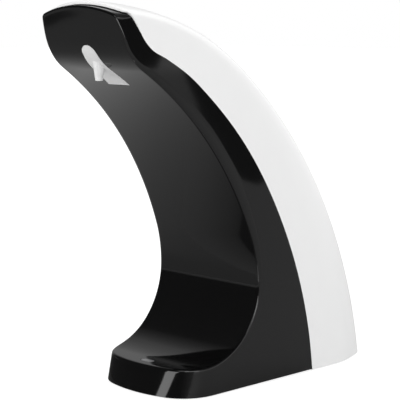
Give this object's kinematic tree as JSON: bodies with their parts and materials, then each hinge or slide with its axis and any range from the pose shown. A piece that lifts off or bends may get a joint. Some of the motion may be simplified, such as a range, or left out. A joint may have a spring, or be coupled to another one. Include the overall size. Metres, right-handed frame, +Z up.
{
  "type": "automatic soap dispenser",
  "caption": "Arched countertop soap dispenser with a black front, white back, hands-free nozzle over a tray, hinged fill lid, press buttons and an inner battery gear pump.",
  "frame": {"origin": "on the counter, under the middle of the bounding box", "axes": "+Z up, the tray and nozzle face -Y, X across the body, which is symmetric about X = 0 outside"},
  "size_m": [0.0952, 0.2122, 0.222],
  "materials": {
    "gloss_black": "high gloss",
    "white_satin": "satin",
    "dark_plastic": "fine texture",
    "foot_rubber": "matte",
    "seal_rubber": "matte",
    "steel": "bright",
    "pale_plastic": "satin",
    "clear_tube": "translucent",
    "tank_plastic": "translucent",
    "circuit_board": "lacquered",
    "chip_black": "matte",
    "sensor_window": "polished",
    "gear_plastic": "moulded",
    "pump_plastic": "moulded",
    "bracket_metal": "satin",
    "cell_jacket": "gloss",
    "contact_metal": "bright"
  },
  "bodies": {
    "housing": {"front_shell": "gloss_black", "rear_shell": "white_satin", "base_plate": "dark_plastic", "feet": "foot_rubber", "shell_screws": "steel", "nozzle": "pale_plastic", "nozzle_valve": "seal_rubber", "nozzle_elbow": "pale_plastic", "outlet_tube": "clear_tube", "inlet_tube": "clear_tube", "reservoir": "tank_plastic", "lid_pin": "steel", "button_board": "circuit_board", "button_switches": "chip_black", "button_screws": "steel", "sensor_lens": "sensor_window", "sensor_board": "circuit_board", "ir_diodes": "chip_black", "sensor_screws": "steel", "motor": "steel", "motor_cap": "pale_plastic", "motor_bracket": "bracket_metal", "bracket_screws": "steel", "idler_pin": "steel", "pump_body": "pump_plastic", "pump_cover": "pump_plastic", "pump_gasket": "seal_rubber", "shaft_seal": "foot_rubber", "pump_screws": "steel", "battery_box": "dark_plastic", "batteries": "cell_jacket", "battery_contacts": "contact_metal", "battery_door": "dark_plastic", "door_gasket": "seal_rubber", "door_screw": "steel", "control_board": "circuit_board", "control_chips": "chip_black", "board_screws": "steel"},
    "lid": {"fill_lid": "white_satin", "lid_seal": "seal_rubber"},
    "power_key": {"power_button": "pale_plastic"},
    "dose_key": {"dose_button": "pale_plastic"},
    "drive": {"drive_shaft": "steel", "drive_gear": "gear_plastic"},
    "idler": {"idler_gear": "gear_plastic"}
  },
  "joints": [
    {"name": "lid_hinge", "type": "hinge", "parent": "housing", "child": "lid", "pos_m": [0, 0.02883, 0.15064], "axis": [-1, 0, 0], "range_deg": [0, 90]},
    {"name": "power_press", "type": "slide", "parent": "housing", "child": "power_key", "axis": [0, -0.2974, -0.9548], "range_m": [0, 0.0008], "stiffness_N_per_m": 800},
    {"name": "dose_press", "type": "slide", "parent": "housing", "child": "dose_key", "axis": [0, -0.2974, -0.9548], "range_m": [0, 0.0008], "stiffness_N_per_m": 800},
    {"name": "drive_spin", "type": "hinge", "parent": "housing", "child": "drive", "pos_m": [0, 0.02, 0.018], "axis": [1, 0, 0], "continuous": true},
    {"name": "idler_spin", "type": "hinge", "parent": "housing", "child": "idler", "pos_m": [0, 0.02, 0.0305], "axis": [1, 0, 0], "continuous": true}
  ],
  "couplings": [
    {"joint": "idler_spin", "follows": "drive_spin", "ratio": -1}
  ]
}
